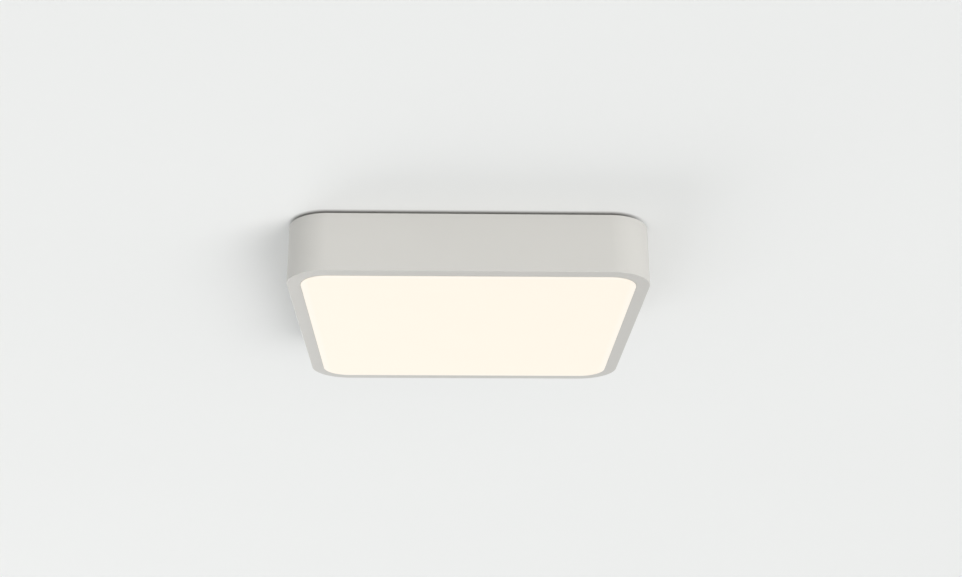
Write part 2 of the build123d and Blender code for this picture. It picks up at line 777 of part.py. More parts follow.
with BuildPart() as neutral_lead:
    neutral_line = [
        (lead_seat, poles["neutral"], lead_level),
        (neutral_reach, poles["neutral"], lead_level),
        (neutral_reach, neutral_entry, lead_level),
        (driver_face, neutral_entry, lead_level),
    ]
    wire(neutral_line, (near_bend + lead_lane, far_bend + mains_spacing), mains_radius)
finish(neutral_lead, "neutral_lead")

with BuildPart() as earth_lead:
    wire([(lead_seat, earth_y, lead_level), (lug_left - lug_barrel, earth_y, lead_level)], None, mains_radius)
finish(earth_lead, "earth_lead")

with BuildPart() as dc_plus_lead:
    plus_x = feed_x + jumper_spacing / 2
    plus_end = first_row - jumper_spacing / 2
    plus_line = [
        (-driver_face, plus_entry, lead_level),
        (plus_x, plus_entry, lead_level),
        (plus_x, feed_y, lead_level),
        (plus_x, feed_y, jumper_level),
        (plus_x, plus_end, jumper_level),
        (-connector_face, plus_end, jumper_level),
    ]
    wire(plus_line, feed_bends, jumper_radius)
finish(dc_plus_lead, "dc_plus_lead")

with BuildPart() as dc_minus_lead:
    minus_x = feed_x - jumper_spacing / 2
    minus_end = first_row + jumper_spacing / 2
    minus_line = [
        (-driver_face, minus_entry, lead_level),
        (minus_x, minus_entry, lead_level),
        (minus_x, feed_y, lead_level),
        (minus_x, feed_y, jumper_level),
        (minus_x, minus_end, jumper_level),
        (-connector_face, minus_end, jumper_level),
    ]
    first_bend, *middle_bends, last_bend = feed_bends
    outer_bends = (first_bend + jumper_spacing, *middle_bends, last_bend + jumper_spacing)
    wire(minus_line, outer_bends, jumper_radius)
finish(dc_minus_lead, "dc_minus_lead")

lead_clip_width = jumper_spacing + 2 * lead_clip_side
lead_clip_height = lead_drop + lead_clip_side

with BuildPart() as lead_clip:
    with Locations((lead_clip_x, driver_y, base_bottom)):
        Box(lead_clip_length, lead_clip_width, lead_clip_height, align=hanging)
        Cylinder(lead_clip_peg, base_sheet, align=rising)
    for entry in (plus_entry, minus_entry):
        with Locations((lead_clip_x, entry, lead_level)):
            Cylinder(jumper_radius + pin_gap, lead_clip_length, rotation=(0, 90, 0), mode=Mode.SUBTRACT)
finish(lead_clip, "lead_clip")
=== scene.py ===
import json
import math
import bmesh
import bpy
from mathutils import Matrix, Vector


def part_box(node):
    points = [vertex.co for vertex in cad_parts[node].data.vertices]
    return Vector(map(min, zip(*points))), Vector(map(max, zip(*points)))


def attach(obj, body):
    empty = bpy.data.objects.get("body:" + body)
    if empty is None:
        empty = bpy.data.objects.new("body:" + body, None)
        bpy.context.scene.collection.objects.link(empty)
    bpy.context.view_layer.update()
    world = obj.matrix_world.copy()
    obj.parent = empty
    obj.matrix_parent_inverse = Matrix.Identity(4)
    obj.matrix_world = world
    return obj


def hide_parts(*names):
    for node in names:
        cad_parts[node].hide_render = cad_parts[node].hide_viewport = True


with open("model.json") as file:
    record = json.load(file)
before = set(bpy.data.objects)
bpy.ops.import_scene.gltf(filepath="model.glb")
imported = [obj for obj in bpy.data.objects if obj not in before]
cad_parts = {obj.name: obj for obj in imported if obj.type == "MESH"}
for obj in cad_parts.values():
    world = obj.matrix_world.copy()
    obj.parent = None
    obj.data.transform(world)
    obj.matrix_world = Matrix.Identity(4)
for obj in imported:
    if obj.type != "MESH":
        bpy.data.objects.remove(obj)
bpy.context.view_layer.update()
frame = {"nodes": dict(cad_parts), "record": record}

scene = bpy.context.scene
nodes = frame["nodes"]
mm = 0.001
tiny = 0.001 * mm  # places nearer than this count as one
weld = 0.0001 * mm  # corners nearer than this are merged
facing = 0.9  # least share of a face's normal that counts as facing a direction
noiseMiddle = 0.5  # a noise swings round this value
stripCount = 6
ledCount = 6  # on each strip
ledPitch = 40 * mm  # from LED to LED, along and across the strips
print("frame loaded:", len(nodes), "nodes")


# shader maths: a socket that can be added, multiplied and so on
class Flow:
    def __init__(self, sheet, socket):
        self.sheet = sheet
        self.socket = socket

    def math(self, operation, other=0.0):
        return self.sheet.math(operation, self, other)

    def __add__(self, other):
        return self.math("ADD", other)

    def __radd__(self, other):
        return self.math("ADD", other)

    def __sub__(self, other):
        return self.math("SUBTRACT", other)

    def __rsub__(self, other):
        return self.sheet.math("SUBTRACT", other, self)

    def __mul__(self, other):
        return self.math("MULTIPLY", other)

    def __rmul__(self, other):
        return self.math("MULTIPLY", other)

    def __truediv__(self, other):
        return self.math("DIVIDE", other)

    def __rtruediv__(self, other):
        return self.sheet.math("DIVIDE", other, self)

    def __mod__(self, other):
        return self.math("FLOORED_MODULO", other)

    def __pow__(self, other):
        return self.math("POWER", other)

    def __lt__(self, other):
        return self.math("LESS_THAN", other)

    def __gt__(self, other):
        return self.math("GREATER_THAN", other)

    def __abs__(self):
        return self.math("ABSOLUTE")

    def larger(self, other):
        return self.math("MAXIMUM", other)

    def root(self):
        return self.math("SQRT")


# one node tree, of a material or of the world
class Sheet:
    def __init__(self, owner):
        owner.use_nodes = True
        self.tree = owner.node_tree
        self.tree.nodes.clear()

    def node(self, kind, settings=None, sockets=None, out=0):
        made = self.tree.nodes.new(kind)
        for key, value in (settings or {}).items():
            setattr(made, key, value)
        for key, value in (sockets or {}).items():
            if isinstance(value, Flow):
                self.tree.links.new(value.socket, made.inputs[key])
            else:
                made.inputs[key].default_value = value
        return Flow(self, made.outputs[out]) if len(made.outputs) else None

    def math(self, operation, first, second):
        return self.node("ShaderNodeMath", {"operation": operation}, {0: first, 1: second})

    def place(self):
        return self.node("ShaderNodeTexCoord", out="Object")

    def axis(self, vector, name):
        return self.node("ShaderNodeSeparateXYZ", None, {0: vector}, name)

    # grain is the size of a spot in metres
    def noise(self, vector, grain, detail=2.0):
        sockets = {"Vector": vector, "Scale": 1.0 / grain, "Detail": detail}
        return self.node("ShaderNodeTexNoise", None, sockets, "Fac")

    def cells(self, vector, grain, out):
        return self.node("ShaderNodeTexVoronoi", None, {"Vector": vector, "Scale": 1.0 / grain}, out)

    def fade(self, value, start, end):
        sockets = {"Value": value, "From Min": start, "From Max": end}
        return self.node("ShaderNodeMapRange", {"interpolation_type": "SMOOTHSTEP"}, sockets)

    # sockets 6 and 7 are the Mix node's two colours, and output 2 is the mixed one
    def blend(self, factor, first, second):
        return self.node("ShaderNodeMix", {"data_type": "RGBA"}, {0: factor, 6: first, 7: second}, 2)

    # from a darker to a lighter shade of one colour
    def shades(self, factor, rgb, gains):
        return self.blend(factor, colour(rgb, gains[0]), colour(rgb, gains[1]))

    def clamp(self, value):
        return self.node("ShaderNodeClamp", None, {0: value})

    def bump(self, height, depth, strength):
        return self.node("ShaderNodeBump", None, {"Height": height, "Distance": depth, "Strength": strength})

    def ray(self, name):
        return self.node("ShaderNodeLightPath", out=name)

    def principled(self, sockets):
        return self.node("ShaderNodeBsdfPrincipled", None, sockets)

    def mixed(self, factor, first, second):
        return self.node("ShaderNodeMixShader", None, {0: factor, 1: first, 2: second})

    def show(self, shader, output="ShaderNodeOutputMaterial"):
        self.node(output, None, {"Surface": shader})


def colour(rgb, gain=1.0):
    return (rgb[0] * gain, rgb[1] * gain, rgb[2] * gain, 1.0)


def newSheet(name):
    material = bpy.data.materials.new(name)
    return material, Sheet(material)


# a roughness that swings with a noise
def waver(middle, noise, swing):
    return middle + (noise - noiseMiddle) * swing


# how far a place is from the nearest LED, along one axis
def fromLed(place):
    return place % ledPitch - ledPitch / 2


def middleOf(node):
    low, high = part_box(node)
    return (low + high) / 2


finishes = {}  # one for each material slot of the record


# finishes made the same way, with what they share
def addFinishes(make, shared, looks):
    for slot, look in looks.items():
        finishes[slot] = make({**shared, **look})


# painted metal: faint clouds, the peel of sprayed powder and fine specks
paintShared = {"speckBump": 0.3}
paintLooks = {
    "frame_paint": {
        "name": "framePaint", "rgb": (0.537, 0.525, 0.503), "gains": (0.988, 1.012), "cloud": 60 * mm,
        "peel": 1.6 * mm, "speck": 0.35 * mm, "rough": 0.4, "roughVary": 0.08, "shine": 0.18,
        "depth": 0.03 * mm, "strength": 0.35},
    "base_paint": {
        "name": "basePaint", "rgb": (0.74, 0.745, 0.74), "gains": (0.98, 1.02), "cloud": 40 * mm,
        "peel": 1.2 * mm, "speck": 0.3 * mm, "rough": 0.5, "roughVary": 0.1, "shine": 0.4,
        "depth": 0.04 * mm, "strength": 0.4},
    "tray_paint": {
        "name": "trayPaint", "rgb": (0.73, 0.735, 0.73), "gains": (0.985, 1.015), "cloud": 50 * mm,
        "peel": 1.0 * mm, "speck": 0.25 * mm, "rough": 0.46, "roughVary": 0.08, "shine": 0.3,
        "depth": 0.03 * mm, "strength": 0.35},
}


def powderCoat(look):
    material, sheet = newSheet(look["name"])
    place = sheet.place()
    cloud = sheet.noise(place, look["cloud"], detail=3.0)
    peel = sheet.noise(place, look["peel"])
    speck = sheet.noise(place, look["speck"], detail=1.0)
    sheet.show(sheet.principled({
        "Base Color": sheet.shades(cloud, look["rgb"], look["gains"]),
        "Roughness": waver(look["rough"], speck, look["roughVary"]),
        "Specular IOR Level": look["shine"],
        "Normal": sheet.bump(peel + speck * look["speckBump"], look["depth"], look["strength"]),
    }))
    return material


addFinishes(powderCoat, paintShared, paintLooks)

# plain plastic and rubber: faint clouds and a fine moulded grain
plasticShared = {"cloud": 6 * mm, "grain": 0.35 * mm, "roughVary": 0.12, "depth": 0.012 * mm, "strength": 0.6}
plasticLooks = {
    "grommet_rubber": {
        "name": "grommetRubber", "rgb": (0.022, 0.022, 0.024), "gains": (0.75, 1.25), "rough": 0.62},
    "connector_white": {
        "name": "connectorNylon", "rgb": (0.74, 0.725, 0.67), "gains": (0.95, 1.05), "rough": 0.42},
    "wire_red": {"name": "wireRed", "rgb": (0.46, 0.022, 0.02), "gains": (0.9, 1.1), "rough": 0.36},
    "wire_black": {"name": "wireBlack", "rgb": (0.018, 0.018, 0.019), "gains": (0.8, 1.2), "rough": 0.38},
    "wire_brown": {"name": "wireBrown", "rgb": (0.13, 0.045, 0.015), "gains": (0.88, 1.12), "rough": 0.38},
    "wire_blue": {"name": "wireBlue", "rgb": (0.02, 0.1, 0.42), "gains": (0.9, 1.1), "rough": 0.38},
    "terminal_grey": {"name": "terminalGrey", "rgb": (0.5, 0.5, 0.49), "gains": (0.95, 1.05), "rough": 0.48},
    "button_brown": {"name": "buttonBrown", "rgb": (0.2, 0.075, 0.025), "gains": (0.95, 1.05), "rough": 0.4},
    "button_blue": {"name": "buttonBlue", "rgb": (0.02, 0.13, 0.48), "gains": (0.95, 1.05), "rough": 0.4},
    "button_green": {"name": "buttonGreen", "rgb": (0.05, 0.34, 0.08), "gains": (0.95, 1.05), "rough": 0.4},
    "driver_white": {"name": "driverWhite", "rgb": (0.72, 0.72, 0.7), "gains": (0.98, 1.02), "rough": 0.5},
    "board_green": {"name": "boardGreen", "rgb": (0.02, 0.16, 0.06), "gains": (0.88, 1.12), "rough": 0.35},
    "capacitor": {"name": "capacitorSleeve", "rgb": (0.03, 0.035, 0.06), "gains": (0.85, 1.15), "rough": 0.3},
    "chip_black": {"name": "chipBlack", "rgb": (0.02, 0.02, 0.021), "gains": (0.8, 1.2), "rough": 0.55},
    "clip_nylon": {"name": "clipNylon", "rgb": (0.7, 0.69, 0.64), "gains": (0.95, 1.05), "rough": 0.4},
}


def plainPlastic(look):
    material, sheet = newSheet(look["name"])
    place = sheet.place()
    cloud = sheet.noise(place, look["cloud"], detail=3.0)
    grain = sheet.noise(place, look["grain"])
    sheet.show(sheet.principled({
        "Base Color": sheet.shades(cloud, look["rgb"], look["gains"]),
        "Roughness": waver(look["rough"], grain, look["roughVary"]),
        "Normal": sheet.bump(grain, look["depth"], look["strength"]),
    }))
    return material


addFinishes(plainPlastic, plasticShared, plasticLooks)

# spring steel: brushed upright, with faint stains
steelLook = {
    "name": "springSteel", "rgb": (0.40, 0.405, 0.42), "gains": (0.82, 1.1), "brush": (1.0, 1.0, 12.0),
    "grain": 1.2 * mm, "stain": 9 * mm, "rough": 0.34, "roughVary": 0.22, "depth": 0.01 * mm, "strength": 0.5}


def springSteel(look):
    material, sheet = newSheet(look["name"])
    place = sheet.place()
    stretched = sheet.node("ShaderNodeMapping", None, {"Vector": place, "Scale": look["brush"]})
    streak = sheet.noise(stretched, look["grain"], detail=3.0)
    stain = sheet.noise(place, look["stain"])
    sheet.show(sheet.principled({
        "Base Color": sheet.shades(stain, look["rgb"], look["gains"]),
        "Metallic": 1.0,
        "Roughness": waver(look["rough"], streak, look["roughVary"]),
        "Normal": sheet.bump(streak, look["depth"], look["strength"]),
    }))
    return material


finishes["spring_steel"] = springSteel(steelLook)

# plated metal: small crystals and handling marks
platingShared = {
    "gains": (0.85, 1.08), "flakeRough": 0.14, "markRough": 0.08, "depth": 0.008 * mm, "strength": 0.5}
platingLooks = {
    "zinc": {
        "name": "zincPlate", "rgb": (0.66, 0.67, 0.685), "flake": 0.9 * mm, "mark": 1.5 * mm, "rough": 0.24},
    "brass": {
        "name": "tinnedBrass", "rgb": (0.78, 0.64, 0.36), "flake": 0.7 * mm, "mark": 1.2 * mm, "rough": 0.26},
}


def platedMetal(look):
    material, sheet = newSheet(look["name"])
    place = sheet.place()
    flake = sheet.node("ShaderNodeRGBToBW", None, {0: sheet.cells(place, look["flake"], "Color")})
    mark = sheet.noise(place, look["mark"], detail=3.0)
    sheet.show(sheet.principled({
        "Base Color": sheet.shades(flake, look["rgb"], look["gains"]),
        "Metallic": 1.0,
        "Roughness": look["rough"] + flake * look["flakeRough"] + mark * look["markRough"],
        "Normal": sheet.bump(mark, look["depth"], look["strength"]),
    }))
    return material


addFinishes(platedMetal, platingShared, platingLooks)

# foam of the two seals: open cells and faint clouds
foamShared = {
    "gains": (0.6, 1.5), "cellShade": 0.7, "cloudShade": 0.4, "rough": 0.92, "cellRough": 0.1,
    "strength": 0.8}
foamLooks = {
    "gasket": {
        "name": "gasketFoam", "rgb": (0.5, 0.5, 0.485), "cell": 0.4 * mm, "cloud": 12 * mm,
        "depth": 0.1 * mm},
    "seal_foam": {
        "name": "sealFoam", "rgb": (0.075, 0.076, 0.08), "cell": 0.55 * mm, "cloud": 15 * mm,
        "depth": 0.2 * mm},
}


def softFoam(look):
    material, sheet = newSheet(look["name"])
    place = sheet.place()
    cell = sheet.cells(place, look["cell"], "Distance")
    cloud = sheet.noise(place, look["cloud"], detail=3.0)
    tone = cell * look["cellShade"] + cloud * look["cloudShade"]
    sheet.show(sheet.principled({
        "Base Color": sheet.shades(tone, look["rgb"], look["gains"]),
        "Roughness": look["rough"] - cell * look["cellRough"],
        "Normal": sheet.bump(cell, look["depth"], look["strength"]),
    }))
    return material


addFinishes(softFoam, foamShared, foamLooks)

# opal panel, lit from behind: a cooler edge, and a dimmer side where it stands proud of the rim
# edge places are from the middle, side places from the lit face up
opalLook = {
    "name": "opalPanel", "rgb": (0.30, 0.287, 0.255), "gains": (0.985, 1.015), "haze": 45 * mm,
    "grain": 0.4 * mm, "glow": (0.69, 0.622, 0.54), "edgeGlow": (0.685, 0.637, 0.575),
    "sideGlow": (0.36, 0.335, 0.3), "glowStrength": 1.0, "edgeStart": 131 * mm, "edgeEnd": 137 * mm,
    "sideStart": 0.2 * mm, "sideEnd": 0.55 * mm, "sideTop": 1.6 * mm, "rough": 0.6, "roughVary": 0.1,
    "shine": 0.1, "depth": 0.01 * mm, "strength": 0.4}


def opalPanel(look):
    material, sheet = newSheet(look["name"])
    place = sheet.place()
    reach = abs(sheet.axis(place, "X")).larger(abs(sheet.axis(place, "Y")))
    edge = sheet.fade(reach, look["edgeStart"], look["edgeEnd"])
    rise = sheet.axis(place, "Z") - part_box("diffuser")[0].z
    side = sheet.fade(rise, look["sideStart"], look["sideEnd"]) * (rise < look["sideTop"])
    face = sheet.blend(edge, colour(look["glow"]), colour(look["edgeGlow"]))
    haze = sheet.noise(place, look["haze"])
    grain = sheet.noise(place, look["grain"])
    sheet.show(sheet.principled({
        "Base Color": sheet.shades(haze, look["rgb"], look["gains"]),
        "Emission Color": sheet.blend(side, face, colour(look["sideGlow"])),
        "Emission Strength": look["glowStrength"],
        "Roughness": waver(look["rough"], grain, look["roughVary"]),
        "Specular IOR Level": look["shine"],
        "Normal": sheet.bump(grain, look["depth"], look["strength"]),
    }))
    return material


finishes["opal"] = opalPanel(opalLook)

# strip board: white mask, tracks under it, gilded pads and joints beside each LED
boardLook = {
    "name": "ledBoard", "mask": (0.7, 0.712, 0.705), "gains": (0.96, 1.03), "trace": (0.6, 0.6, 0.55),
    "gold": (0.75, 0.56, 0.26), "padReach": 3.4 * mm, "padHalf": 1.9 * mm, "padMetal": 0.8,
    "traceOff": 3.6 * mm, "traceHalf": 0.7 * mm, "traceBump": 0.6,
    "jointOff": 9.2 * mm, "jointHalf": 0.7 * mm, "jointBump": 0.4,
    "cloud": 9 * mm, "grain": 0.3 * mm, "grainBump": 0.1, "rough": 0.38, "roughVary": 0.1,
    "depth": 0.03 * mm, "strength": 0.7}


def ledBoard(look):
    material, sheet = newSheet(look["name"])
    place = sheet.place()
    along = abs(fromLed(sheet.axis(place, "X")))
    across = abs(fromLed(sheet.axis(place, "Y")))
    pad = (along < look["padReach"]) * (across < look["padHalf"])
    trace = (abs(across - look["traceOff"]) < look["traceHalf"]) * (along > look["padReach"])
    joint = (abs(along - look["jointOff"]) < look["jointHalf"]) * (across < look["jointHalf"])
    cloud = sheet.noise(place, look["cloud"])
    grain = sheet.noise(place, look["grain"])
    traced = sheet.blend(trace, sheet.shades(cloud, look["mask"], look["gains"]), colour(look["trace"]))
    height = trace * look["traceBump"] + pad - joint * look["jointBump"] + grain * look["grainBump"]
    sheet.show(sheet.principled({
        "Base Color": sheet.blend(sheet.clamp(pad + joint), traced, colour(look["gold"])),
        "Metallic": pad * look["padMetal"],
        "Roughness": waver(look["rough"], grain, look["roughVary"]),
        "Normal": sheet.bump(height, look["depth"], look["strength"]),
    }))
    return material


finishes["board_white"] = ledBoard(boardLook)

# clear lens: slight haze, and a painted glow, standing in for the LED's light inside the lens, that fades
# from the LED out to the foot
lensLook = {
    "name": "lensAcrylic", "rgb": (0.92, 0.93, 0.93), "gains": (0.97, 1.0), "haze": 3 * mm, "hazeRough": 0.05,
    "rough": 0.12, "ior": 1.49, "clear": 0.8, "glow": (0.2, 0.17, 0.11), "paintedFootGlow": (0.03, 0.027, 0.022),
    "glowStrength": 1.0, "paintedGlowStart": 1.2 * mm, "paintedGlowEnd": 6.5 * mm}


def clearLens(look):
    material, sheet = newSheet(look["name"])
    place = sheet.place()
    offX = fromLed(sheet.axis(place, "X"))
    offY = fromLed(sheet.axis(place, "Y"))
    away = sheet.fade((offX * offX + offY * offY).root(), look["paintedGlowStart"], look["paintedGlowEnd"])
    haze = sheet.noise(place, look["haze"])
    sheet.show(sheet.principled({
        "Base Color": sheet.shades(haze, look["rgb"], look["gains"]),
        # painted glow: the lens is no lamp, so this emission stands in for the LED's light inside it
        "Emission Color": sheet.blend(away, colour(look["glow"]), colour(look["paintedFootGlow"])),
        "Emission Strength": look["glowStrength"],
        "Roughness": look["rough"] + haze * look["hazeRough"],
        "IOR": look["ior"],
        "Transmission Weight": look["clear"],
    }))
    return material


finishes["lens_clear"] = clearLens(lensLook)

# phosphor of the LEDs: glowing, with a fine speck
phosphorLook = {
    "name": "ledPhosphor", "rgb": (0.85, 0.62, 0.16), "gains": (0.85, 1.1), "glow": (1.0, 0.86, 0.55),
    "glowGains": (0.92, 1.0), "glowStrength": 0.9, "speck": 0.25 * mm, "rough": 0.3, "speckRough": 0.1}


def glowingPhosphor(look):
    material, sheet = newSheet(look["name"])
    speck = sheet.noise(sheet.place(), look["speck"])
    sheet.show(sheet.principled({
        "Base Color": sheet.shades(speck, look["rgb"], look["gains"]),
        "Emission Color": sheet.shades(speck, look["glow"], look["glowGains"]),
        "Emission Strength": look["glowStrength"],
        "Roughness": look["rough"] + speck * look["speckRough"],
    }))
    return material


finishes["led_phosphor"] = glowingPhosphor(phosphorLook)

# earth wire: green, with a yellow stripe along its middle
earthLook = {
    "name": "wireEarth", "rgb": (0.1, 0.36, 0.07), "stripe": (0.72, 0.6, 0.05), "half": 0.45 * mm,
    "grain": 0.4 * mm, "rough": 0.4, "roughVary": 0.15, "depth": 0.01 * mm, "strength": 0.5}


def stripedWire(look):
    material, sheet = newSheet(look["name"])
    place = sheet.place()
    stripe = abs(sheet.axis(place, "Z") - middleOf("earth_lead").z) < look["half"]
    grain = sheet.noise(place, look["grain"])
    sheet.show(sheet.principled({
        "Base Color": sheet.blend(stripe, colour(look["rgb"]), colour(look["stripe"])),
        "Roughness": waver(look["rough"], grain, look["roughVary"]),
        "Normal": sheet.bump(grain, look["depth"], look["strength"]),
    }))
    return material


finishes["wire_earth"] = stripedWire(earthLook)

# transformer: layers of yellow tape round the coil, dark ferrite at both ends
coilLook = {
    "name": "tapedCoil", "rgb": (0.62, 0.47, 0.05), "gains": (0.8, 1.1), "ferrite": (0.06, 0.06, 0.062),
    "tape": 1.5 * mm, "tapeBump": 0.5, "coilHalf": 7 * mm, "grain": 0.6 * mm, "rough": 0.45,
    "coreRough": 0.25, "roughVary": 0.1, "depth": 0.03 * mm, "strength": 0.6}


def tapedCoil(look):
    material, sheet = newSheet(look["name"])
    place = sheet.place()
    layer = (sheet.axis(place, "Z") % look["tape"]) / look["tape"]
    core = abs(sheet.axis(place, "Y") - middleOf("driver_transformer").y) > look["coilHalf"]
    grain = sheet.noise(place, look["grain"], detail=3.0)
    tape = sheet.shades(layer, look["rgb"], look["gains"])
    sheet.show(sheet.principled({
        "Base Color": sheet.blend(core, tape, colour(look["ferrite"])),
        "Roughness": waver(look["rough"] + core * look["coreRough"], grain, look["roughVary"]),
        "Normal": sheet.bump(layer * look["tapeBump"] + grain, look["depth"], look["strength"]),
    }))
    return material


finishes["ferrite"] = tapedCoil(coilLook)

for part in frame["record"]["subparts"]:
    piece = nodes[part["node"]]
    piece.data.materials.clear()
    piece.data.materials.append(finishes[part["material_slot"]])
print("finishes made:", len(finishes))


# mesh helpers

def newObject(name, bm, materials):
    mesh = bpy.data.meshes.new(name)
    bm.to_mesh(mesh)
    bm.free()
    for material in materials:
        mesh.materials.append(material)
    made = bpy.data.objects.new(name, mesh)
    scene.collection.objects.link(made)
    return made


def addPiece(name, bm, body, slot, node, sharp, looks=None):
    piece = newObject(name, bm, [finishes[look] for look in looks or [slot]])
    piece.data.shade_smooth()
    piece.data.set_sharp_from_angle(angle=math.radians(sharp))
    weighted = piece.modifiers.new("weighted", "WEIGHTED_NORMAL")
    weighted.keep_sharp = True
    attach(piece, body)
    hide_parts(node)


def vertsOf(geom):
    return [item for item in geom if isinstance(item, bmesh.types.BMVert)]


def edgesOf(geom):
    return [item for item in geom if isinstance(item, bmesh.types.BMEdge)]


def allOf(bm):
    return bm.verts[:] + bm.edges[:] + bm.faces[:]


# edges with both ends among some vertices
def edgesWithin(edges, verts):
    known = set(verts)
    return [edge for edge in edges if edge.verts[0] in known and edge.verts[1] in known]


def facesTowards(bm, direction):
    return [face for face in bm.faces if face.normal.dot(Vector(direction)) > facing]


def roundOff(bm, geom, radius, steps, affect="EDGES"):
    return bmesh.ops.bevel(bm, geom=geom, offset=radius, offset_type="OFFSET", affect=affect, segments=steps,
                           profile=0.5, material=-1)


def addBlock(bm, size, centre):
    bmesh.ops.create_cube(bm, size=1.0)
    bmesh.ops.scale(bm, vec=size, verts=bm.verts)
    bmesh.ops.translate(bm, vec=centre, verts=bm.verts)


# copies of all there is, and the first one taken away
def copiesAt(bm, places):
    first = allOf(bm)
    for place in places:
        fresh = bmesh.ops.duplicate(bm, geom=first)["geom"]
        bmesh.ops.translate(bm, vec=place, verts=vertsOf(fresh))
    bmesh.ops.delete(bm, geom=vertsOf(first), context="VERTS")


frameLow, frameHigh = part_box("frame")
diffuserLow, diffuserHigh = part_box("diffuser")

# the light's outline seen from below: a square with round corners
plan = {"half": frameHigh.x, "radius": 35 * mm, "steps": 28}
planCentre = plan["half"] - plan["radius"]  # where the corner arcs have their middles


# outward direction of the plan at a point
def outward(point):
    offX = abs(point.x) - planCentre
    offY = abs(point.y) - planCentre
    signX = math.copysign(1.0, point.x)
    signY = math.copysign(1.0, point.y)
    if offX > tiny and offY > tiny:
        return Vector((signX * offX, signY * offY, 0.0)).normalized()
    return Vector((signX, 0.0, 0.0)) if offX > offY else Vector((0.0, signY, 0.0))


# flat face of the plan at an inset and a height
def planFace(bm, inset, height):
    level = Matrix.Translation((0.0, 0.0, height))
    grid = bmesh.ops.create_grid(bm, x_segments=1, y_segments=1, size=plan["half"] - inset, matrix=level)
    corners = roundOff(bm, grid["verts"], plan["radius"] - inset, plan["steps"], "VERTICES")
    return corners["verts"][0].link_faces[0]


# walls through a list of (inset, height) points, from one loop of edges
def planWalls(bm, edges, points):
    loops = [edges]
    lastInset = points[0][0]
    for inset, height in points[1:]:
        grown = bmesh.ops.extrude_edge_only(bm, edges=loops[-1])["geom"]
        fresh = vertsOf(grown)
        for vert in fresh:
            vert.co -= outward(vert.co) * (inset - lastInset)
            vert.co.z = height
        loops.append(edgesWithin(edgesOf(grown), fresh))
        lastInset = inset
    return loops


# edges that run round the plan at an inset and a height
def loopAt(bm, inset, height):
    found = []
    for vert in bm.verts:
        across = outward(vert.co)
        offset = vert.co.dot(across) - planCentre * (abs(across.x) + abs(across.y))
        if abs(offset - plan["radius"] + inset) < tiny and abs(vert.co.z - height) < tiny:
            found.append(vert)
    return edgesWithin(bm.edges, found)


# frame: painted ring with a flat rim and two inner ribs, each given by its reach, top and bottom
ringShape = {
    "wall": 1.6 * mm, "rim": 11.4 * mm, "lip": 1.8 * mm,
    "ribs": [(3.6 * mm, 1.3 * mm, 2.8 * mm), (4.2 * mm, 40.2 * mm, 41.5 * mm)],
    "rimRound": 0.6 * mm, "lipRound": 0.4 * mm, "topRound": 0.18 * mm, "roundSteps": 5, "sharp": 32.0}


def makeFrame(shape):
    top, bottom = frameHigh.z, frameLow.z
    wall, rim = shape["wall"], shape["rim"]
    lip = bottom + shape["lip"]
    points = [(0.0, bottom), (0.0, top), (wall, top)]
    for reach, down, end in shape["ribs"]:
        points += [(wall, top - down), (reach, top - down), (reach, top - end), (wall, top - end)]
    points += [(wall, lip), (rim, lip), (rim, bottom), (0.0, bottom)]
    bm = bmesh.new()
    start = planFace(bm, 0.0, bottom)
    edges = list(start.edges)
    bmesh.ops.delete(bm, geom=[start], context="FACES_ONLY")
    planWalls(bm, edges, points)
    bmesh.ops.remove_doubles(bm, verts=bm.verts, dist=weld)
    bmesh.ops.recalc_face_normals(bm, faces=bm.faces)
    rounds = [
        (0.0, bottom, shape["rimRound"]), (0.0, top, shape["topRound"]),
        (wall, top, shape["topRound"]), (rim, bottom, shape["lipRound"])]
    for inset, height, radius in rounds:
        roundOff(bm, loopAt(bm, inset, height), radius, shape["roundSteps"])
    addPiece("frameRing", bm, "cover", "frame_paint", "frame", shape["sharp"])


makeFrame(ringShape)
print("frame ring made")

# diffuser: opal tray with a flange, its lit face a little below the rim
trayShape = {
    "plug": 11.45 * mm, "flange": 2.2 * mm, "wall": 2.0 * mm, "flangeBottom": 2.8 * mm,
    "faceRound": 0.55 * mm, "roundSteps": 5, "sharp": 32.0}


def makeDiffuser(shape):
    low, high = diffuserLow.z, diffuserHigh.z
    plug, flange = shape["plug"], shape["flange"]
    inner = plug + shape["wall"]
    floor = low + shape["wall"]
    step = low + shape["flangeBottom"]
    points = [(plug, low), (plug, step), (flange, step), (flange, high), (inner, high), (inner, floor)]
    bm = bmesh.new()
    start = planFace(bm, plug, low)
    loops = planWalls(bm, list(start.edges), points)
    bmesh.ops.edgeloop_fill(bm, edges=loops[-1])
    bmesh.ops.recalc_face_normals(bm, faces=bm.faces)
    roundOff(bm, loops[0], shape["faceRound"], shape["roundSteps"])
    addPiece("opalDiffuser", bm, "cover", "opal", "diffuser", shape["sharp"])


makeDiffuser(trayShape)
print("diffuser made")

stripRows = [middleOf(f"led_strip_{number + 1}").y for number in range(stripCount)]
ledColumns = [(column - (ledCount - 1) / 2) * ledPitch for column in range(ledCount)]
ledPlaces = [(x, y, 0.0) for y in stripRows for x in ledColumns]
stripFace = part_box("led_strip_1")[0].z  # lower face of the strips
connectorLow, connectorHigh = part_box("strip_connectors")

# LED packages: white cup, glowing phosphor in it
ledShape = {
    "size": 3.0 * mm, "corner": 0.3 * mm, "cornerSteps": 3, "lip": 0.4 * mm, "cup": 0.2 * mm,
    "slope": 0.08 * mm, "sharp": 32.0}


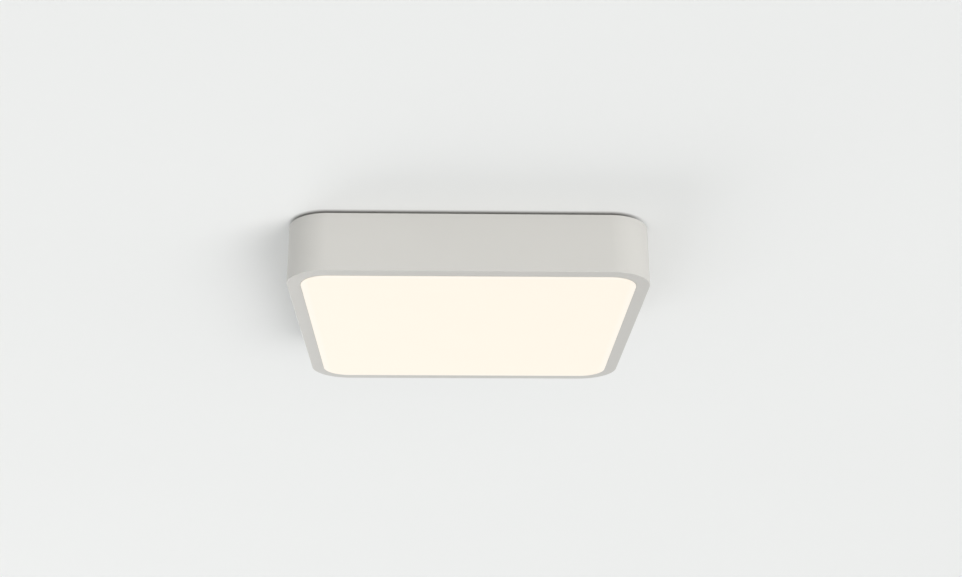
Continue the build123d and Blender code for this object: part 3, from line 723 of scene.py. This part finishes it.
def makeLeds(shape):
    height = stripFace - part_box("leds")[0].z
    bm = bmesh.new()
    addBlock(bm, (shape["size"], shape["size"], height), (0.0, 0.0, stripFace - height / 2))
    upright = [edge for edge in bm.edges if abs(edge.verts[0].co.z - edge.verts[1].co.z) > height / 2]
    roundOff(bm, upright, shape["corner"], shape["cornerSteps"])
    lower = facesTowards(bm, (0.0, 0.0, -1.0))
    bmesh.ops.inset_region(bm, faces=lower, thickness=shape["lip"], depth=0.0)
    bmesh.ops.inset_region(bm, faces=lower, thickness=shape["slope"], depth=-shape["cup"])
    lower[0].material_index = 1
    copiesAt(bm, ledPlaces)
    looks = ["connector_white", "led_phosphor"]
    addPiece("ledPackages", bm, "base", "led_phosphor", "leds", shape["sharp"], looks)


makeLeds(ledShape)

# lenses: low domes with a dip over each LED, hollow beneath
# the pocket's roof is rounded by a share of the pocket's radius
lensShape = {
    "radius": 7.5 * mm, "shoulder": 3.0 * mm, "dip": 0.8 * mm, "pocket": 2.62 * mm, "roofShare": 0.98,
    "foot": 0.25 * mm, "lift": 0.05 * mm, "roundSteps": 9, "steps": 28, "sharp": 50.0}


def makeLenses(shape):
    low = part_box("led_lenses")[0].z
    base = stripFace - shape["lift"]
    roof = stripFace - shape["pocket"]
    outline = [
        (shape["pocket"], base), (shape["radius"], base), (shape["radius"], low),
        (0.0, low + shape["dip"]), (0.0, roof), (shape["pocket"], roof)]
    bm = bmesh.new()
    verts = [bm.verts.new((radius, 0.0, level)) for radius, level in outline]
    bm.faces.new(verts)
    roofRound = shape["pocket"] * shape["roofShare"]
    for vert, radius in ((verts[2], shape["shoulder"]), (verts[5], roofRound), (verts[1], shape["foot"])):
        roundOff(bm, [vert], radius, shape["roundSteps"], "VERTICES")
    bmesh.ops.delete(bm, geom=bm.faces[:], context="FACES_ONLY")
    onAxis = [edge for edge in bm.edges if all(abs(vert.co.x) < weld for vert in edge.verts)]
    bmesh.ops.delete(bm, geom=onAxis, context="EDGES")
    bmesh.ops.spin(bm, geom=bm.verts[:] + bm.edges[:], cent=(0, 0, 0), axis=(0, 0, 1), angle=math.tau,
                   steps=shape["steps"], use_merge=True)
    bmesh.ops.remove_doubles(bm, verts=bm.verts, dist=weld)
    bmesh.ops.recalc_face_normals(bm, faces=bm.faces)
    copiesAt(bm, ledPlaces)
    addPiece("ledLenses", bm, "base", "lens_clear", "led_lenses", shape["sharp"])


makeLenses(lensShape)

# connectors: nylon housings with two open mouths for the wires and a dented underside
# edges that turn by more than the corner angle, in radians, are rounded
connectorShape = {
    "length": 6.0 * mm, "width": 7.0 * mm, "wall": 0.55 * mm, "taper": 0.1 * mm, "recess": 0.8 * mm,
    "margin": 1.3 * mm, "slope": 0.15 * mm, "dent": 0.4 * mm, "corner": 1.2, "round": 0.18 * mm,
    "roundSteps": 2, "sharp": 32.0}


def makeConnectors(shape):
    underside = connectorLow.z
    bm = bmesh.new()
    size = (shape["length"], shape["width"], stripFace - underside)
    addBlock(bm, size, (connectorHigh.x - shape["length"] / 2, 0.0, (stripFace + underside) / 2))
    bmesh.ops.bisect_plane(bm, geom=allOf(bm), plane_co=(0, 0, 0), plane_no=(0, 1, 0))
    mouths = facesTowards(bm, (1.0, 0.0, 0.0))
    bmesh.ops.inset_individual(bm, faces=mouths, thickness=shape["wall"], depth=0.0)
    bmesh.ops.inset_individual(bm, faces=mouths, thickness=shape["taper"], depth=-shape["recess"])
    below = [face for face in bm.faces if abs(face.calc_center_median().z - underside) < tiny]
    bmesh.ops.inset_region(bm, faces=below, thickness=shape["margin"], depth=0.0)
    bmesh.ops.inset_region(bm, faces=below, thickness=shape["slope"], depth=-shape["dent"])
    convex = [edge for edge in bm.edges if edge.is_manifold and edge.is_convex]
    corners = [edge for edge in convex if edge.calc_face_angle() > shape["corner"]]
    roundOff(bm, corners, shape["round"], shape["roundSteps"])
    other = bmesh.ops.duplicate(bm, geom=allOf(bm))["geom"]  # at the far end of the strip
    bmesh.ops.rotate(bm, cent=(0, 0, 0), matrix=Matrix.Rotation(math.pi, 3, "Z"), verts=vertsOf(other))
    copiesAt(bm, [(0.0, y, 0.0) for y in stripRows])
    addPiece("stripConnectors", bm, "base", "connector_white", "strip_connectors", shape["sharp"])


makeConnectors(connectorShape)

# jumpers: red and black wires from strip to strip, at each end in turn
jumperShape = {
    "radius": 0.8 * mm, "spacing": 3.0 * mm, "reach": 7.0 * mm, "end": 1.0 * mm, "drop": 1.8 * mm,
    "plug": 0.8 * mm, "sides": 12, "steps": 10, "sharp": 50.0}


# a wire laid by moves: a straight run of a length, or a turn by an angle on a bend radius
def layWire(bm, place, heading, moves, shape):
    here = Vector(place)
    heading = Vector(heading)
    stand = Matrix.Translation(here) @ heading.to_track_quat("Z", "Y").to_matrix().to_4x4()
    ring = bmesh.ops.create_circle(bm, cap_ends=True, segments=shape["sides"], radius=shape["radius"],
                                   matrix=stand)
    verts = ring["verts"]
    for kind, amount, bend in moves:
        loop = edgesWithin(bm.edges, verts)
        if kind == "run":
            verts = vertsOf(bmesh.ops.extrude_edge_only(bm, edges=loop)["geom"])
            bmesh.ops.translate(bm, vec=heading * amount, verts=verts)
            here = here + heading * amount
        else:
            turn = Matrix.Rotation(amount, 3, "Z")
            middle = here + Vector((-heading.y, heading.x, 0.0)) * math.copysign(bend, amount)
            spun = bmesh.ops.spin(bm, geom=verts + loop, cent=middle, axis=(0, 0, 1), angle=amount,
                                  steps=shape["steps"])
            verts = vertsOf(spun["geom_last"])
            here = middle + turn @ (here - middle)
            heading = turn @ heading
    bmesh.ops.contextual_create(bm, geom=verts)


def makeJumpers(shape):
    names = {"wire_red": "jumpersRed", "wire_black": "jumpersBlack"}
    wires = {slot: bmesh.new() for slot in names}
    pitch = stripRows[0] - stripRows[1]
    level = stripFace - shape["drop"]
    start = connectorHigh.x - shape["plug"]  # the wires end on the floor of the connector's recess
    lead = ("run", shape["end"] + shape["plug"], 0.0)
    for number, row in enumerate(stripRows[:-1]):
        side = 1.0 if number % 2 == 0 else -1.0
        for inner in (True, False):
            shift = shape["spacing"] / 2 if inner else -shape["spacing"] / 2
            bend = shape["reach"] - shape["end"] + (0.0 if inner else shape["spacing"])
            turn = ("turn", -side * math.pi / 2, bend)
            across = ("run", pitch - 2 * shift - 2 * bend, 0.0)
            slot = "wire_red" if inner == (side > 0) else "wire_black"
            place = (side * start, row - shift, level)
            layWire(wires[slot], place, (side, 0.0, 0.0), [lead, turn, across, turn, lead], shape)
    for slot, bm in wires.items():
        bmesh.ops.recalc_face_normals(bm, faces=bm.faces)
        addPiece(names[slot], bm, "base", slot, "strip_jumpers", shape["sharp"])


makeJumpers(jumperShape)
print("LEDs, lenses, connectors and jumpers made")

# stage: the ceiling, open above the light so that its plate can be seen and lit from above
ceilingLook = {
    "half": 15.0, "hole": 14 * mm, "ring": -4.6 * mm, "rgb": (0.845, 0.85, 0.85), "gains": (0.994, 1.006),
    "roller": 2.5 * mm, "cloud": 0.5, "rough": 0.9, "shine": 0.1, "depth": 0.05 * mm, "strength": 0.1}

# the ring over the shadow gap shows only to the eye, so it keeps no light from the plate
# its shade is widest and darkest where the plan faces the lean: the front, and a little to the left
gapLook = {
    "rgb": (0.26, 0.253, 0.24), "leanX": -0.225, "leanY": -0.974, "lightEnd": 0.2, "darkStart": 0.97,
    "start": -4.5 * mm, "end": 0.8 * mm, "endMore": 2.2 * mm}


def ceilingPaint(look):
    material, sheet = newSheet("ceilingPaint")
    place = sheet.place()
    roller = sheet.noise(place, look["roller"], detail=3.0)
    cloud = sheet.noise(place, look["cloud"])
    paint = sheet.principled({
        "Base Color": sheet.shades(cloud, look["rgb"], look["gains"]),
        "Roughness": look["rough"],
        "Specular IOR Level": look["shine"],
        "Normal": sheet.bump(roller, look["depth"], look["strength"]),
    })
    behind = sheet.node("ShaderNodeNewGeometry", out="Backfacing")
    sheet.show(sheet.mixed(behind, paint, sheet.node("ShaderNodeBsdfTransparent")))
    return material


def gapShade(look, ceilingRgb):
    material, sheet = newSheet("gapShade")
    place = sheet.place()
    x = sheet.axis(place, "X")
    y = sheet.axis(place, "Y")
    offX = (abs(x) - planCentre).larger(0.0)
    offY = (abs(y) - planCentre).larger(0.0)
    reach = (offX * offX + offY * offY).root()
    signX = (x > 0.0) * 2.0 - 1.0
    signY = (y > 0.0) * 2.0 - 1.0
    lean = ((offX * signX * look["leanX"] + offY * signY * look["leanY"]) / reach).larger(0.0)
    edge = sheet.fade(plan["radius"] - reach, lean * look["start"], look["end"] + lean * look["endMore"])
    dark = edge * sheet.fade(lean, look["lightEnd"], look["darkStart"])
    tint = sheet.blend(dark, colour(ceilingRgb), colour(look["rgb"]))
    shade = sheet.node("ShaderNodeBsdfDiffuse", None, {"Color": tint})
    behind = sheet.node("ShaderNodeNewGeometry", out="Backfacing")
    seen = sheet.ray("Is Camera Ray") * (1.0 - behind)
    sheet.show(sheet.mixed(seen, sheet.node("ShaderNodeBsdfTransparent"), shade))
    return material


def makeCeiling(look, gap):
    bm = bmesh.new()
    hole = planFace(bm, look["hole"], 0.0)
    loops = planWalls(bm, list(hole.edges), [(look["hole"], 0.0), (look["ring"], 0.0)])
    bmesh.ops.delete(bm, geom=[hole], context="FACES_ONLY")
    for face in bm.faces:
        face.material_index = 1
    rim = vertsOf(bmesh.ops.extrude_edge_only(bm, edges=loops[-1])["geom"])
    factor = look["half"] / plan["half"]
    bmesh.ops.scale(bm, vec=(factor, factor, 1.0), verts=rim)
    for face in {face for vert in rim for face in vert.link_faces}:
        face.material_index = 0
    bm.normal_update()
    for face in bm.faces:
        if face.normal.z > 0:
            face.normal_flip()
    newObject("ceiling", bm, [ceilingPaint(look), gapShade(gap, look["rgb"])])


makeCeiling(ceilingLook, gapLook)

# light: a soft room, brighter near the level of the eye, dim at the right and bright towards the front right
roomLook = {
    "rgb": (0.985, 1.0, 0.99), "low": 0.525, "level": 0.93, "fall": 3.0, "rightFall": 0.95, "bright": 3.5,
    "brightX": 0.643, "brightY": -0.766, "brightFall": 4.0, "backdrop": (0.85, 0.855, 0.855)}

# and two wide soft lamps, one from the front right and one from behind
lampLooks = [
    {"name": "frontLamp", "from": (0.233, -0.233, -0.253), "spread": 42.0, "strength": 1.39,
     "rgb": (1.0, 0.985, 0.965)},
    {"name": "backLamp", "from": (-0.12, 0.222, -0.089), "spread": 38.0, "strength": 0.94,
     "rgb": (1.0, 1.0, 1.0)},
]


def makeRoom(look):
    scene.world = bpy.data.worlds.new("room")
    sheet = Sheet(scene.world)
    way = sheet.node("ShaderNodeTexCoord", out="Generated")
    x = sheet.axis(way, "X")
    y = sheet.axis(way, "Y")
    flat = 1.0 - abs(sheet.axis(way, "Z"))
    towards = (x * look["brightX"] + y * look["brightY"]).larger(0.0)
    side = 1.0 - look["rightFall"] * x.larger(0.0) + look["bright"] * towards ** look["brightFall"]
    level = look["low"] + look["level"] * side * flat ** look["fall"]
    even = sheet.node("ShaderNodeBackground", None, {"Color": colour(look["rgb"]), "Strength": level})
    backdrop = sheet.node("ShaderNodeBackground", None, {"Color": colour(look["backdrop"]), "Strength": 1.0})
    direct = sheet.ray("Is Camera Ray") + sheet.ray("Is Glossy Ray") + sheet.ray("Is Transmission Ray")
    sheet.show(sheet.mixed(sheet.clamp(direct), even, backdrop), "ShaderNodeOutputWorld")


def makeLamp(look):
    lamp = bpy.data.lights.new(look["name"], "SUN")
    lamp.angle = math.radians(look["spread"])
    lamp.energy = look["strength"]
    lamp.color = look["rgb"]
    holder = bpy.data.objects.new(look["name"], lamp)
    holder.rotation_euler = (-Vector(look["from"])).to_track_quat("-Z", "Y").to_euler()
    scene.collection.objects.link(holder)


makeRoom(roomLook)
for lampLook in lampLooks:
    makeLamp(lampLook)

# camera: below and in front of the light, looking up
cameraLook = {
    "place": (-0.01912, -1.14876, -0.4393), "yaw": 1.615, "pitch": 20.445, "roll": -0.233, "lens": 50.0,
    "sensor": 36.0, "far": 50.0}


def makeCamera(look):
    yaw, pitch, roll = (math.radians(look[key]) for key in ("yaw", "pitch", "roll"))
    ahead = Vector((math.sin(yaw) * math.cos(pitch), math.cos(yaw) * math.cos(pitch), math.sin(pitch)))
    level = Vector((math.cos(yaw), -math.sin(yaw), 0.0))
    upright = level.cross(ahead)
    right = level * math.cos(roll) + upright * math.sin(roll)
    above = upright * math.cos(roll) - level * math.sin(roll)
    turn = Matrix((right, above, -ahead)).transposed()
    data = bpy.data.cameras.new("viewer")
    data.lens = look["lens"]
    data.sensor_fit = "HORIZONTAL"
    data.sensor_width = look["sensor"]
    data.clip_end = look["far"]
    camera = bpy.data.objects.new("viewer", data)
    camera.matrix_world = Matrix.Translation(look["place"]) @ turn.to_4x4()
    scene.collection.objects.link(camera)
    scene.camera = camera


makeCamera(cameraLook)
scene.view_settings.view_transform = "Standard"
print("stage, light and camera set")
